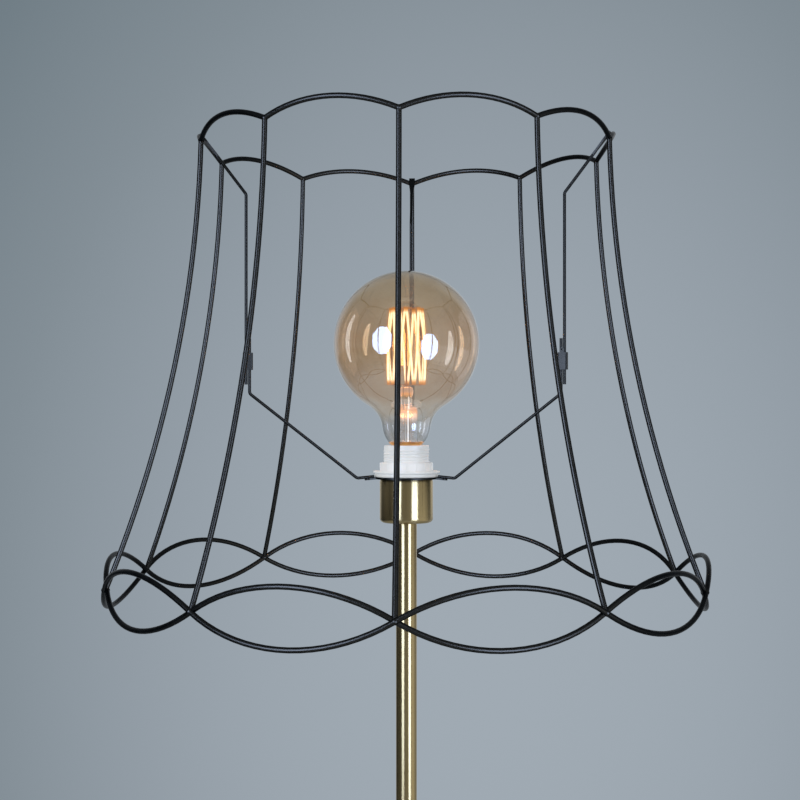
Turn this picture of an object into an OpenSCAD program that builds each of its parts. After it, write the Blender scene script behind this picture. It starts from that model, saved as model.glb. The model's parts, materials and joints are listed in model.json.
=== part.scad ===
// Retro floor lamp: a bare bell-shaped wire shade frame and a large globe lamp on a slim brass stem.
// Millimetres, +Z up. The origin is the middle of the base, on the floor. -Y is the front.

/* [Base] */
// Outer diameter of the round base
base_d = 280; // [230:5:340]
// Height of the base's top face above the floor
base_h = 28; // [26:1:40]
// Rounding of the cover's upper edge
base_corner_r = 6; // [2:0.5:8]
// Sheet thickness of the spun cover
cover_t = 1.2; // [0.8:0.1:2]
// Height of the cover's lower edge above the floor
cover_lift = 1; // [0.5:0.5:1.5]
// Thickness of the weight's disc
weight_t = 9; // [6:0.5:11]
// Width of the rim that runs round under the weight
weight_rim_w = 14; // [8:1:25]
// Thickness of the felt pad
pad_t = 2; // [1:0.5:3]
// Distance from the base's edge to the pad's edge
pad_inset = 4; // [3:0.5:8]
// Diameter of the large washer under the weight
washer_d = 34; // [24:1:50]
// Thickness of the washer
washer_t = 1.5; // [1:0.5:3]

/* [Cord inlet] */
// Height of the cord hole's middle above the floor
inlet_z = 7.5; // [7:0.5:9]
// Bore of the bushing, which takes a round mains cord
inlet_bore_d = 6.4; // [5:0.1:7]
// Diameter of the bushing's neck in the cover's wall
bushing_neck_d = 9.2; // [8:0.1:10]
// Diameter of the bushing's two flanges
bushing_flange_d = 12; // [11:0.5:12.5]
// Thickness of each bushing flange
bushing_flange_t = 1.6; // [1:0.1:2.5]

/* [Stem] */
// Outside diameter of the tube
pole_d = 18; // [16:0.5:25]
// Wall of the tube
pole_wall = 1; // [0.8:0.1:1.5]
// Length of each of the three tube sections
pole_section = 411.5; // [250:0.5:480]
// Length of the threaded bush pressed into each tube end
bush_len = 12; // [8:1:20]
// Outside diameter of the threaded nipples
nipple_d = 10; // [9:0.5:11]
// Bore of the threaded nipples
nipple_bore_d = 8; // [6.5:0.5:8]
// Length of the nipple between two tube sections
joint_nipple_len = 22; // [14:1:22]
// Width across the flats of the hexagon nuts
nut_af = 14; // [13:0.5:17]
// Height of the hexagon nuts
nut_t = 4; // [3:0.5:5]
// Diameter of the lead inside the stem
lead_d = 4.5; // [3.5:0.5:5]
// Radius of the lead's bend in the base
lead_bend_r = 8; // [6:0.5:9]

/* [Lamp holder] */
// Outside diameter of the brass cup
cup_d = 46; // [44:0.5:54]
// Height of the brass cup
cup_h = 37.5; // [34:0.5:60]
// Sheet thickness of the brass cup
cup_t = 1.2; // [0.8:0.1:1.5]
// Rounding of the cup's lower edge
cup_corner_r = 4; // [2:0.5:6]
// Diameter over the holder's outer thread
holder_d = 39.5; // [39:0.1:40]
// Height of the holder's mouth above the cup's rim
holder_rise = 29; // [28:0.5:34]
// Diameter of the holder's mouth
mouth_d = 33; // [32:0.5:34]
// Depth of the wide part of the mouth
mouth_depth = 6; // [4:0.5:8]
// Wall thickness of the holder's plastic parts
plastic_t = 2; // [1.5:0.1:2.2]
// Sheet thickness of the screw shell
shell_t = 0.4; // [0.3:0.1:0.6]

/* [Shade ring] */
// Outside diameter of the ring nut's collar
collar_d = 46; // [44:0.5:48]
// Height of the collar above the flange
collar_h = 7.3; // [5:0.1:12]
// Number of grip grooves round the collar
grip_count = 24; // [12:2:36]
// Outside diameter of the flange
flange_d = 57; // [52:0.5:60]
// Height of the flange
flange_h = 5.4; // [3:0.2:7]

/* [Shade carrier] */
// Thickness of the flat carrier ring
carrier_t = 1.4; // [1:0.2:3]
// Outside diameter of the carrier ring
carrier_d = 56; // [50:0.5:60]
// Reach of the ring's three ears from the middle
ear_r = 37; // [34:0.5:40]
// Width of each ear
ear_w = 7; // [5:0.5:10]
// Slope by which the ears, with the arms' inner ends on them, hang down
ear_slope = 5; // [0:0.5:8]
// Diameter of the arm wires and drop rods
rod_d = 2.6; // [2.2:0.1:3.5]
// Radius of the bends in the arm wires and drop rods
rod_bend_r = 4; // [3:0.5:8]
// Radius at which an arm bends up
arm_knee_r = 43.7; // [41:0.1:60]
// Radius of the arms' upright ends
arm_r = 136.3; // [120:0.1:150]
// Height of the arms' upper bend above the cup's rim
arm_rise = 72.8; // [40:0.1:84]
// Length of arm that stands out above a clip
arm_stub = 11.7; // [6:0.1:20]
// Height of a clip's middle above the cup's rim
clip_z = 99.7; // [96:0.1:120]
// Height of a clip
clip_h = 14.3; // [8:0.1:18]
// Sheet thickness of a clip
clip_t = 1.2; // [0.8:0.1:1.5]
// Height of the lug on a clip
lug_h = 4.2; // [3:0.1:6]
// Width of the lug on a clip
lug_w = 3.6; // [3:0.1:4.2]

/* [Shade frame] */
// Diameter of the ribs' and rings' wire
wire_d = 4.3; // [3:0.1:5.5]
// Radius of the top ring at its ten low points
top_r = 176.8; // [165:0.1:200]
// Radius of the bottom edge at the feet of the ribs
bottom_r = 254.4; // [235:0.1:280]
// Height from the ribs' feet to the top ring's low points
frame_h = 369.4; // [320:0.1:400]
// Height of the top ring's low points above the cup's rim
frame_top = 282; // [270:0.1:300]
// Slope of the ribs against the vertical at their tops
rib_lean = 1.5; // [0:0.1:5]
// Rise of each scallop of the top ring
scallop_rise = 11.2; // [6:0.1:20]
// Outward bulge of each scallop of the top ring
scallop_out = 7.9; // [4:0.1:12]
// Rise and fall of the two wavy bottom wires
wave_rise = 22; // [12:0.1:30]
// Distance from wire middle to wire middle where the wavy wires cross
wave_split = 2; // [1:0.1:3]
// Diameter of the weld beads at the joints of the wires, above that of the wire
bead_extra = 0.8; // [0.6:0.1:1.5]
// Drop from the top ring's low points to the bend in a drop rod
drop_knee = 43; // [34:0.1:60]
// Length of drop rod that stands out below a clip
drop_stub = 12.2; // [8:0.1:20]
// Width of a drop rod's flattened end
blade_w = 5.6; // [4:0.1:8]
// Thickness of a drop rod's flattened end
blade_t = 1.5; // [1:0.1:2]
// Length of a drop rod's flattened end
blade_len = 22; // [15:0.5:28]

/* [Globe lamp] */
// Diameter of the glass globe
globe_d = 125; // [95:1:125]
// Length from the bottom contact to the top of the glass
globe_len = 177; // [172:0.5:190]
// Wall of the glass
glass_t = 0.8; // [0.6:0.1:1.2]
// Diameter of the neck where its round shoulder begins
neck_d = 41.2; // [40:0.2:42]
// Slope of the neck against the vertical above that shoulder
neck_slope = 9; // [7:1:12]
// Radius of the sweep from the neck into the globe
neck_sweep_r = 24; // [18:0.5:26]
// Diameter over the cap's thread
cap_d = 26.1; // [25.8:0.05:26.4]
// Sheet thickness of the cap
cap_t = 0.5; // [0.4:0.1:0.6]
// Height of the filament cage
cage_h = 66; // [50:1:70]
// Distance from the globe's middle down to that of the cage
cage_drop = 2.5; // [0:0.1:5]
// Diameter of the cage at its top
cage_top_d = 29; // [20:1:34]
// Diameter of the cage at its bottom
cage_bottom_d = 32; // [22:1:36]
// Number of upper hooks, and of lower ones
hook_count = 7; // [5:1:9]
// Diameter of the filament
filament_d = 0.8; // [0.6:0.1:1.2]

/* [Clearances] */
// Gap between pieces that are screwed or pressed together
fit_gap = 0.05; // [0.03:0.01:0.1]
// Gap between a sliding drop rod and its clip
slide_gap = 0.08; // [0.05:0.01:0.1]
// Gap on each face of the clamped carrier ring
clamp_gap = 0.1; // [0.05:0.01:0.3]
// Gap between side-by-side rods
rod_gap = 0.3; // [0.3:0.05:0.5]
// Loose gap round parts that drop in
loose_gap = 0.4; // [0.3:0.05:0.6]
// Depth by which welded wires sink into each other
weld_sink = 0.2; // [0.1:0.05:0.4]

/* [Hidden] */
RIBS = 10;
PITCH = 360 / RIBS;
// Directions of the three arms, from the front, turning towards +X
ARM_RIGHT = 2 * PITCH;
ARM_LEFT = -2 * PITCH;
ARM_REAR = 5 * PITCH;
ROUND = 64;
EPS = 0.01;

base_r = base_d / 2;
weight_r = base_r - cover_t - loose_gap;
weight_top = base_h - cover_t - fit_gap;
weight_under = weight_top - weight_t;
washer_under = weight_under - washer_t - fit_gap;
nut_under = washer_under - nut_t - fit_gap;
pole_top = base_h + 3 * pole_section;
// Height of the cup's rim, on which the carrier ring sits
rim_z = pole_top + cup_h;
nut_d = nut_af / cos(30);
cup_floor = pole_top + cup_t;
cap_under = cup_floor + nut_t + 2 * fit_gap;
holder_top = rim_z + holder_rise;
// The holder's two plastic parts meet this far below the rim
holder_joint = rim_z - 10;
spigot_len = 5;
socket_wall_r = cap_d / 2 + 0.25;
tip_z = rim_z + 2;
block_top = tip_z - 0.2;
contact_well_r = 6.5;
thread_gap = 0.1;
rod_r = rod_d / 2;
carrier_under = rim_z + clamp_gap;
carrier_top = carrier_under + carrier_t;
flange_under = carrier_top + clamp_gap;
drop_r = arm_r + rod_d + rod_gap;
clip_under = rim_z + clip_z - clip_h / 2;
clip_top = clip_under + clip_h;
top_z = rim_z + frame_top;
bottom_z = top_z - frame_h;
half_pitch = PITCH / 2;
bead_d = wire_d + bead_extra;
globe_r = globe_d / 2;
globe_mid = globe_len - globe_r;
cage_top = globe_mid - cage_drop + cage_h / 2;
cage_bottom = cage_top - cage_h;
RIB_NAMES = [for (i = [1:RIBS]) str("rib_", i)];

// Colours
brass = "#8a7547";
raw_brass = "#c9a24a";
black = "#24272b";
white = "#e8ecef";
steel = "#9a9da0";
iron = "#4a4a4c";
felt = "#2c2c2c";
amber = [0.72, 0.56, 0.34, 0.4];
clear = [0.85, 0.88, 0.9, 0.4];
glow = "#ffb347";

// A direction round the stem: 0 is the front, 90 is +X
module facing(angle) rotate([0, 0, angle - 90]) children();

// Stands a drawing of radius against height upright, in the direction it faces
module upright(angle) facing(angle) rotate([90, 0, 0]) children();

module disc(d, h, z = 0) translate([0, 0, z]) cylinder(d = d, h = h, $fn = ROUND);

module tube(d, bore, h, z = 0) difference() {
    disc(d, h, z);
    disc(bore, h + 2 * EPS, z - EPS);
}

module hex_nut(z) difference() {
    translate([0, 0, z]) cylinder(d = nut_d, h = nut_t, $fn = 6);
    disc(nipple_d + 2 * fit_gap, nut_t + 2 * EPS, z - EPS);
}

module nipple(from, to) tube(nipple_d, nipple_bore_d, to - from, from);

// Half profile of a round tin: open below, with a rounded upper edge
module tin_profile(r, low, high, corner) {
    translate([0, low]) square([r, high - corner - low]);
    translate([0, low]) square([r - corner, high - low]);
    translate([r - corner, high - corner]) circle(r = corner, $fn = ROUND);
}

// Base

module base_cover() color(brass) difference() {
    rotate_extrude($fn = ROUND) difference() {
        tin_profile(base_r, cover_lift, base_h, base_corner_r);
        tin_profile(base_r - cover_t, cover_lift - 1, base_h - cover_t, base_corner_r - cover_t);
    }
    disc(nipple_d + 2 * fit_gap, 2 * cover_t, base_h - 1.5 * cover_t);
    translate([0, base_r + 1, inlet_z]) rotate([90, 0, 0])
        cylinder(d = bushing_neck_d + 2 * fit_gap, h = 4 * cover_t, $fn = ROUND);
}

module base_weight() color(iron) difference() {
    rotate_extrude($fn = ROUND) difference() {
        tin_profile(weight_r, pad_t, weight_top, base_corner_r - cover_t);
        square([weight_r - weight_rim_w, weight_under]);
    }
    disc(nipple_d + 2 * loose_gap, weight_t + 2, weight_under - 1);
    inlet_slot_w = bushing_flange_d + 2 * loose_gap;
    translate([-inlet_slot_w / 2, weight_r - weight_rim_w - 2, -1])
        cube([inlet_slot_w, weight_rim_w + 4, 1 + inlet_z + inlet_slot_w / 2]);
}

module base_pad() color(felt) disc(base_d - 2 * pad_inset, pad_t);

module base_washer() color(steel) tube(washer_d, nipple_d + 2 * fit_gap, washer_t, washer_under);

module base_nut() color(steel) hex_nut(nut_under);

module base_nipple() color(steel) nipple(nut_under - 0.3, base_h + bush_len);

module cord_bushing() color(felt) {
    // The flat inner flange stands off by as much as the cover's round wall reaches in at the flange's edge
    wall_r = base_r - cover_t;
    inner_gap = fit_gap + wall_r - sqrt(wall_r * wall_r - bushing_flange_d * bushing_flange_d / 4);
    translate([0, base_r + bushing_flange_t, inlet_z]) rotate([90, 0, 0]) difference() {
        union() {
            cylinder(d = bushing_flange_d, h = bushing_flange_t - fit_gap, $fn = ROUND);
            cylinder(d = bushing_neck_d, h = cover_t + 2 * bushing_flange_t, $fn = ROUND);
            translate([0, 0, bushing_flange_t + cover_t + inner_gap])
                cylinder(d = bushing_flange_d, h = bushing_flange_t - inner_gap, $fn = ROUND);
        }
        translate([0, 0, -EPS])
            cylinder(d = inlet_bore_d, h = cover_t + 2 * bushing_flange_t + 2 * EPS, $fn = ROUND);
    }
}

// Stem

function section_z(i) = base_h + i * pole_section;

module pole_tube(i) color(brass) tube(pole_d, pole_d - 2 * pole_wall, pole_section - fit_gap, section_z(i));

module pole_lower() pole_tube(0);
module pole_middle() pole_tube(1);
module pole_upper() pole_tube(2);

module pole_bushes() color(raw_brass) for (i = [0:2], end = [0, 1])
    tube(pole_d - 2 * pole_wall - 2 * fit_gap, nipple_d + 2 * fit_gap, bush_len,
         section_z(i) + end * (pole_section - bush_len - fit_gap));

module pole_nipples() color(steel) for (i = [1, 2])
    nipple(section_z(i) - joint_nipple_len / 2, section_z(i) + joint_nipple_len / 2);

// The lead's jacket ends in the holder's cap, from which two cores go on to the terminals
jacket_top = cap_under + plastic_t + 6;
core_d = 1.8;
core_spread = 9;

module inner_lead() color(felt) {
    inlet_y = base_r - cover_t - bushing_flange_t - 1;
    upright(ARM_REAR) bent_wire([[0, jacket_top], [0, inlet_z], [inlet_y, inlet_z]], lead_d, lead_bend_r);
    for (s = [-1, 1]) core(s);
}

module core(s) {
    from = [s * (core_d / 2 + 0.15), 0, jacket_top - 1];
    to = [s * core_spread, 0, holder_joint - spigot_len - 1];
    run = to - from;
    translate(from) rotate([0, acos(run.z / norm(run)) * s, 0]) cylinder(d = core_d, h = norm(run) - ball_inset, $fn = 24);
    translate(to) sphere(d = core_d + ball_extra, $fn = 24);
    translate(to + [0, 0, ball_inset]) cylinder(d = core_d, h = spigot_len + 0.5, $fn = 24);
}

// Lamp holder

module holder_nipple() color(steel) nipple(pole_top - bush_len, cap_under + plastic_t + 2);

module cup_nut() color(steel) hex_nut(cup_floor + fit_gap);

module holder_cup() color(brass) difference() {
    translate([0, 0, rim_z + pole_top]) mirror([0, 0, 1]) rotate_extrude($fn = ROUND) difference() {
        tin_profile(cup_d / 2, pole_top, rim_z, cup_corner_r);
        tin_profile(cup_d / 2 - cup_t, pole_top - 1, rim_z - cup_t, cup_corner_r - cup_t);
    }
    disc(nipple_d + 2 * fit_gap, 2 * cup_t, pole_top - cup_t / 2);
}

module holder_cap() color(white) difference() {
    disc(holder_d - 0.5, holder_joint - fit_gap - cap_under, cap_under);
    disc(holder_d - 0.5 - 2 * plastic_t, rim_z, cap_under + plastic_t);
    disc(nipple_d + 2 * fit_gap, plastic_t + 2, cap_under - 1);
}

spigot_d = holder_d - 0.5 - 2 * plastic_t - 2 * fit_gap;
block_d = spigot_d - 2 * plastic_t - 2 * fit_gap;
bore_top = holder_top - mouth_depth;
shell_bore_d = 2 * (socket_wall_r + shell_t + loose_gap);

module holder_shell() color(white) difference() {
    union() {
        disc(holder_d, holder_rise + rim_z - holder_joint, holder_joint);
        disc(spigot_d, spigot_len + 1, holder_joint - spigot_len);
    }
    disc(mouth_d, mouth_depth + 1, bore_top);
    disc(shell_bore_d, holder_rise, block_top);
    disc(block_d + 2 * fit_gap, block_top + fit_gap - holder_joint + spigot_len + 1, holder_joint - spigot_len - 1);
}

module terminal_block() color(white) difference() {
    disc(block_d, block_top - holder_joint + spigot_len, holder_joint - spigot_len);
    disc(2 * contact_well_r, 6, block_top - 4);
    for (s = [-1, 1]) translate([s * core_spread, 0, 0])
        disc(core_d + 1.6, 8, holder_joint - spigot_len - 1);
    translate([0, 0, holder_joint - spigot_len + 3]) for (s = [-1, 1]) translate([s * core_spread, 0, 0])
        rotate([-90, 0, 0]) cylinder(d = screw_d + 2 * fit_gap, h = block_d, $fn = 32);
}

screw_d = 3;
module terminal_screws() color(steel) for (s = [-1, 1])
    translate([s * core_spread, core_d / 2 + thread_gap, holder_joint - spigot_len + 3]) rotate([-90, 0, 0]) difference() {
        cylinder(d = screw_d, h = 9, $fn = 32);
        translate([-screw_d, -0.3, 8]) cube([2 * screw_d, 0.6, 2]);
    }

// A spring tongue that rises from the well to the lamp's bottom contact
tongue_t = 0.5;
tongue_w = 5;
tongue_foot = 4;
tongue_head = 1.6;
well_floor = block_top - 4;
module centre_contact() color(raw_brass) {
    low = well_floor + fit_gap;
    high = tip_z - thread_gap;
    translate([0, tongue_w / 2, 0]) rotate([90, 0, 0]) linear_extrude(tongue_w) polygon([
        [-tongue_foot, low], [tongue_foot, low], [tongue_head, high], [-tongue_head, high],
        [-tongue_head, high - tongue_t], [tongue_head - tongue_t, high - tongue_t],
        [tongue_foot - 2 * tongue_t, low + tongue_t], [-tongue_foot, low + tongue_t]
    ]);
}

// A riveted strap that joins one terminal to the screw shell
strap_w = 4;
module shell_contact() color(raw_brass) translate([-strap_w / 2, contact_well_r + 1.5, block_top + fit_gap])
    cube([strap_w, 4, tongue_t]);

module screw_shell() color(raw_brass) {
    foot = block_top + tongue_t + 2 * fit_gap;
    difference() {
        disc(2 * (socket_wall_r + shell_t), bore_top - foot, foot);
        disc(2 * socket_wall_r, bore_top, foot + shell_t);
        disc(2 * contact_well_r, 2, foot - 1);
    }
}

// Shade ring

collar_top = flange_under + flange_h + collar_h;
module shade_ring() color(white) difference() {
    union() {
        disc(collar_d, collar_top - flange_under, flange_under);
        translate([0, 0, flange_under]) cylinder(
            d1 = flange_d - 4, d2 = flange_d - 1.6, h = flange_h * 0.65, $fn = ROUND);
        disc(flange_d, flange_h * 0.35, flange_under + flange_h * 0.65);
    }
    disc(holder_d + 2 * thread_gap, collar_top, flange_under - 1);
    for (i = [0:grip_count - 1]) rotate([0, 0, 360 * (i + 0.5) / grip_count])
        translate([collar_d / 2 + 0.3, 0, flange_under + flange_h + EPS]) cylinder(r = 0.9, h = collar_h + 1, $fn = 24);
}

// Bent wires, drawn as radius against height

function unit(v) = v / norm(v);
function heading(v) = atan2(v.y, v.x);
function turn(a, b) = atan2(a.x * b.y - a.y * b.x, a * b);

// Every straight length and bend stops just short of its neighbour, in a ball a hair larger than the wire
ball_extra = 0.1;
ball_inset = 0.1;

// Its poles lie along the wire
module joint_ball(p, along, d) translate(p) rotate([0, 0, heading(along)]) rotate([0, 90, 0])
    sphere(d = d + ball_extra, $fn = 32);

module bent_wire(points, d, bend) {
    n = len(points);
    way = [for (i = [0:n - 2]) unit(points[i + 1] - points[i])];
    cut = [for (i = [0:n - 1]) i == 0 || i == n - 1 ? 0 : bend * tan(abs(turn(way[i - 1], way[i])) / 2)];
    for (i = [0:n - 2]) {
        from = points[i] + way[i] * (cut[i] + (i == 0 ? 0 : ball_inset));
        to = points[i + 1] - way[i] * (cut[i + 1] + (i == n - 2 ? 0 : ball_inset));
        translate(from) rotate([0, 0, heading(way[i])]) rotate([0, 90, 0])
            cylinder(d = d, h = norm(to - from), $fn = 32);
    }
    for (i = [1:n - 2]) {
        angle = turn(way[i - 1], way[i]);
        side = sign(angle);
        start = points[i] - way[i - 1] * cut[i];
        middle = start + side * bend * [-way[i - 1].y, way[i - 1].x];
        trim = ball_inset / bend * 180 / PI;
        first = heading(start - middle) + (side > 0 ? trim : angle + trim);
        translate(middle) rotate([0, 0, first]) rotate_extrude(angle = abs(angle) - 2 * trim)
            translate([bend, 0]) circle(d = d, $fn = 32);
        joint_ball(start, way[i - 1], d);
        joint_ball(points[i] + way[i] * cut[i], way[i], d);
    }
}

// Shade carrier

// The ears are bent down here, just inside the ring's edge
ear_bend_r = carrier_d / 2 - 1;

// A bent strip of sheet, cut to its outline as seen from above
module ear() {
    inner = holder_d / 2 + 3;
    drop = (ear_r + 1 - ear_bend_r) * tan(ear_slope);
    intersection() {
        translate([0, ear_w, 0]) rotate([90, 0, 0]) linear_extrude(2 * ear_w) polygon([
            [inner, carrier_under], [inner, carrier_top], [ear_bend_r, carrier_top], [ear_r + 1, carrier_top - drop],
            [ear_r + 1, carrier_top - drop - carrier_t], [ear_bend_r, carrier_under]
        ]);
        translate([0, 0, carrier_under - 2 * drop - 1]) linear_extrude(carrier_t + 2 * drop + 2) {
            translate([inner - 1, -ear_w / 2]) square([ear_r - ear_w / 2 - inner + 1, ear_w]);
            translate([ear_r - ear_w / 2, 0]) circle(d = ear_w, $fn = ROUND);
        }
    }
}

module carrier_ring() color(black) difference() {
    union() {
        disc(carrier_d, carrier_t, carrier_under);
        for (a = [ARM_RIGHT, ARM_LEFT, ARM_REAR]) facing(a) ear();
    }
    disc(holder_d + 2 * loose_gap, 2 * carrier_t, carrier_under - carrier_t / 2);
}

// Height of an arm's middle where it lies along its ear
function arm_z(r) = carrier_top - (r - ear_bend_r) * tan(ear_slope) + (rod_r - weld_sink) / cos(ear_slope);

arm_start_r = flange_d / 2 + loose_gap;
module arm(angle) color(black) upright(angle) bent_wire([
    [arm_start_r, arm_z(arm_start_r)], [arm_knee_r, arm_z(arm_knee_r)], [arm_r, rim_z + arm_rise],
    [arm_r, clip_top + arm_stub]
], rod_d, rod_bend_r);

module arm_left() arm(ARM_LEFT);
module arm_right() arm(ARM_RIGHT);
module arm_rear() arm(ARM_REAR);

// A sleeve folded from sheet round both rods, with a seam on one side and a lug on the other
clip_room_r = rod_r + slide_gap;
clip_w = drop_r - arm_r + 2 * (clip_room_r + clip_t);
clip_depth = 2 * (clip_room_r + clip_t);
clip_corner_r = 1.2;
seam_w = 0.8;

module rounded_box_2d(w, h, r) {
    square([w - 2 * r, h], center = true);
    square([w, h - 2 * r], center = true);
    for (x = [-1, 1], y = [-1, 1]) translate([x * (w / 2 - r), y * (h / 2 - r)]) circle(r = r, $fn = 24);
}

module clip(angle, side) color(black) facing(angle) translate([(arm_r + drop_r) / 2, 0, 0]) {
    spread = (drop_r - arm_r) / 2;
    difference() {
        translate([0, 0, clip_under]) linear_extrude(clip_h) rounded_box_2d(clip_w, clip_depth, clip_corner_r);
        for (x = [-spread, spread]) translate([x, 0, 0]) disc(2 * clip_room_r, clip_h + 2, clip_under - 1);
        translate([-spread, -clip_room_r, clip_under - 1]) cube([2 * spread, 2 * clip_room_r, clip_h + 2]);
        translate([-seam_w / 2, side > 0 ? -clip_depth : 0, clip_under - 1])
            cube([seam_w, clip_depth, clip_h + 2]);
    }
    lug_y = side * (clip_depth - clip_t) / 2;
    lug_mid = clip_top + lug_h - lug_w / 2;
    difference() {
        union() {
            translate([-lug_w / 2, lug_y - clip_t / 2, clip_top - 1]) cube([lug_w, clip_t, lug_mid - clip_top + 1]);
            translate([0, lug_y, lug_mid]) rotate([90, 0, 0])
                cylinder(d = lug_w, h = clip_t, center = true, $fn = 32);
        }
        translate([0, lug_y, lug_mid]) rotate([90, 0, 0])
            cylinder(d = 0.45 * lug_w, h = 2 * clip_t, center = true, $fn = 24);
    }
}

module clip_left() clip(ARM_LEFT, 1);
module clip_right() clip(ARM_RIGHT, -1);
module clip_rear() clip(ARM_REAR, 1);

// Shade frame

// An arc of wire between two neighbouring joints, standing up or hanging down from its chord
module lobe(i, r, z, rise, out, trim) {
    chord = 2 * r * sin(half_pitch);
    sag = norm([rise, out]);
    bend = (chord * chord / 4 + sag * sag) / (2 * sag);
    half = asin(chord / 2 / bend) - trim / bend * 180 / PI;
    facing(PITCH * i + half_pitch) translate([r * cos(half_pitch), 0, z])
        rotate([0, -atan2(rise, out), 0]) translate([sag - bend, 0, 0]) rotate([0, 0, -half])
            rotate_extrude(angle = 2 * half) translate([bend, 0]) circle(d = wire_d, $fn = 32);
}

module beads(r, z) for (i = [0:RIBS - 1]) facing(PITCH * i) translate([r, 0, z]) sphere(d = bead_d, $fn = 32);

module top_ring() color(black) {
    for (i = [0:RIBS - 1]) lobe(i, top_r, top_z, scallop_rise, scallop_out, 0);
    beads(top_r, top_z);
}

// The bulge at which neighbouring arcs of a wave run into each other without a kink
function wave_out(r) =
    let (chord = 2 * r * sin(half_pitch), k = tan(half_pitch) / chord)
    (sqrt(1 - 4 * k * (k * wave_rise * wave_rise - chord * tan(half_pitch) / 4)) - 1) / (2 * k);

module wave(r, phase) color(black) {
    for (i = [0:RIBS - 1]) lobe(i, r, bottom_z, ((i + phase) % 2 == 0 ? 1 : -1) * wave_rise, wave_out(r), ball_inset);
    beads(r, bottom_z);
}

module wave_outer() wave(bottom_r + wave_split / 2, 0);
module wave_inner() wave(bottom_r - wave_split / 2, 1);

// A rib is one arc, almost upright at the top and swept outwards towards its foot
rib_chord = [bottom_r - top_r, -frame_h];
rib_foot_lean = 2 * atan2(rib_chord.x, frame_h) - rib_lean;
rib_bend_r = norm(rib_chord) / 2 / sin((rib_foot_lean - rib_lean) / 2);

module rib(n) color(black) upright(PITCH * (n - 1))
    translate([top_r + rib_bend_r * cos(rib_lean), top_z + rib_bend_r * sin(rib_lean)])
        rotate([0, 0, 180 + rib_lean]) rotate_extrude(angle = rib_foot_lean - rib_lean, $fn = 360)
            translate([rib_bend_r, 0]) circle(d = wire_d, $fn = 32);

module rib_1() rib(1);
module rib_2() rib(2);
module rib_3() rib(3);
module rib_4() rib(4);
module rib_5() rib(5);
module rib_6() rib(6);
module rib_7() rib(7);
module rib_8() rib(8);
module rib_9() rib(9);
module rib_10() rib(10);

// A drop rod hangs from the top ring by its flattened end and stands upright in its clip
knee = [drop_r, top_z - drop_knee];
seat_lift = (wire_d + blade_t) / 2 - weld_sink;
blade_way = unit([top_r, top_z] - knee);
blade_seat = [top_r, top_z] + seat_lift * [-blade_way.y, blade_way.x];
rod_way = unit(blade_seat - knee);
blade_over = 4.5;

module drop_rod(angle) color(black) upright(angle) {
    bent_wire([[drop_r, clip_under - drop_stub], knee, blade_seat - rod_way * (blade_len - 7)], rod_d, rod_bend_r);
    translate(blade_seat) rotate([0, 0, heading(rod_way)]) rotate([90, 0, 0])
        translate([0, 0, -blade_t / 2]) linear_extrude(blade_t) polygon([
            [-blade_len, -rod_d / 3], [-4, -blade_w / 2], [blade_over, -blade_w / 2],
            [blade_over, blade_w / 2], [-4, blade_w / 2], [-blade_len, rod_d / 3]
        ]);
}

module drop_left() drop_rod(ARM_LEFT);
module drop_right() drop_rod(ARM_RIGHT);
module drop_rear() drop_rod(ARM_REAR);

// Globe lamp, drawn from its bottom contact up

cap_low = 4;
cap_high = 25;
glass_foot = 24;
shoulder_low = 26;
shoulder_high = 41.6;
// Corners of the round shoulder: distance in from the neck's wall, height, and slope of the glass there
SHOULDER = [[3.6, 31.5, 32], [1.3, 36.5, 19.5]];
foot_r = cap_d / 2 - cap_t - thread_gap;

// Half outline of the glass, drawn in by an inset: the globe, the tapered neck and the sweep between them
module glass_profile(inset) {
    up = [sin(neck_slope), cos(neck_slope)];
    side = [cos(neck_slope), -sin(neck_slope)];
    shoulder = [neck_d / 2, shoulder_high];
    middle = [0, globe_mid];
    off = shoulder + neck_sweep_r * side - middle;
    reach = globe_r + neck_sweep_r;
    sweep = middle + off + up * (-(off * up) - sqrt(pow(off * up, 2) - off * off + reach * reach));
    sweep_r = neck_sweep_r + inset;
    difference() {
        union() {
            intersection() {
                translate(middle) circle(r = globe_r - inset, $fn = 128);
                translate([0, middle.y - globe_r]) square([globe_r, 2 * globe_r]);
            }
            polygon([
                [0, glass_foot - (inset > 0 ? 1 : 0)], [foot_r - inset, glass_foot - (inset > 0 ? 1 : 0)],
                [foot_r - inset, shoulder_low],
                for (c = SHOULDER) [neck_d / 2 - c[0] - inset * cos(c[2]), c[1] + inset * sin(c[2])],
                shoulder - inset * side, sweep - sweep_r * side,
                sweep, sweep + sweep_r * unit(middle - sweep), middle
            ]);
        }
        translate(sweep) circle(r = sweep_r, $fn = 128);
    }
}

module lamp_part() translate([0, 0, tip_z]) children();

module globe_glass() color(amber) lamp_part() rotate_extrude($fn = 128) difference() {
    glass_profile(0);
    glass_profile(glass_t);
}

module globe_cap() color(raw_brass) lamp_part() rotate_extrude($fn = ROUND) difference() {
    translate([0, cap_low]) square([cap_d / 2, cap_high - cap_low]);
    translate([0, cap_low - 1]) square([cap_d / 2 - cap_t, cap_high - cap_low + 2]);
}

contact_r = 4.7;
rivet_r = 1.5;
module cap_insulator() color("#1a1a1c") lamp_part() rotate_extrude($fn = ROUND) {
    inner = rivet_r + fit_gap;
    rim = cap_d / 2 - cap_t - fit_gap;
    polygon([[inner, 1 + fit_gap], [contact_r + 0.8, 1 + fit_gap], [rim, cap_low], [rim, cap_low + 3], [inner, cap_low + 3]]);
}

module cap_contact() color(steel) lamp_part() {
    disc(2 * contact_r, 1);
    disc(2 * rivet_r, cap_low + 3);
}

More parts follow.
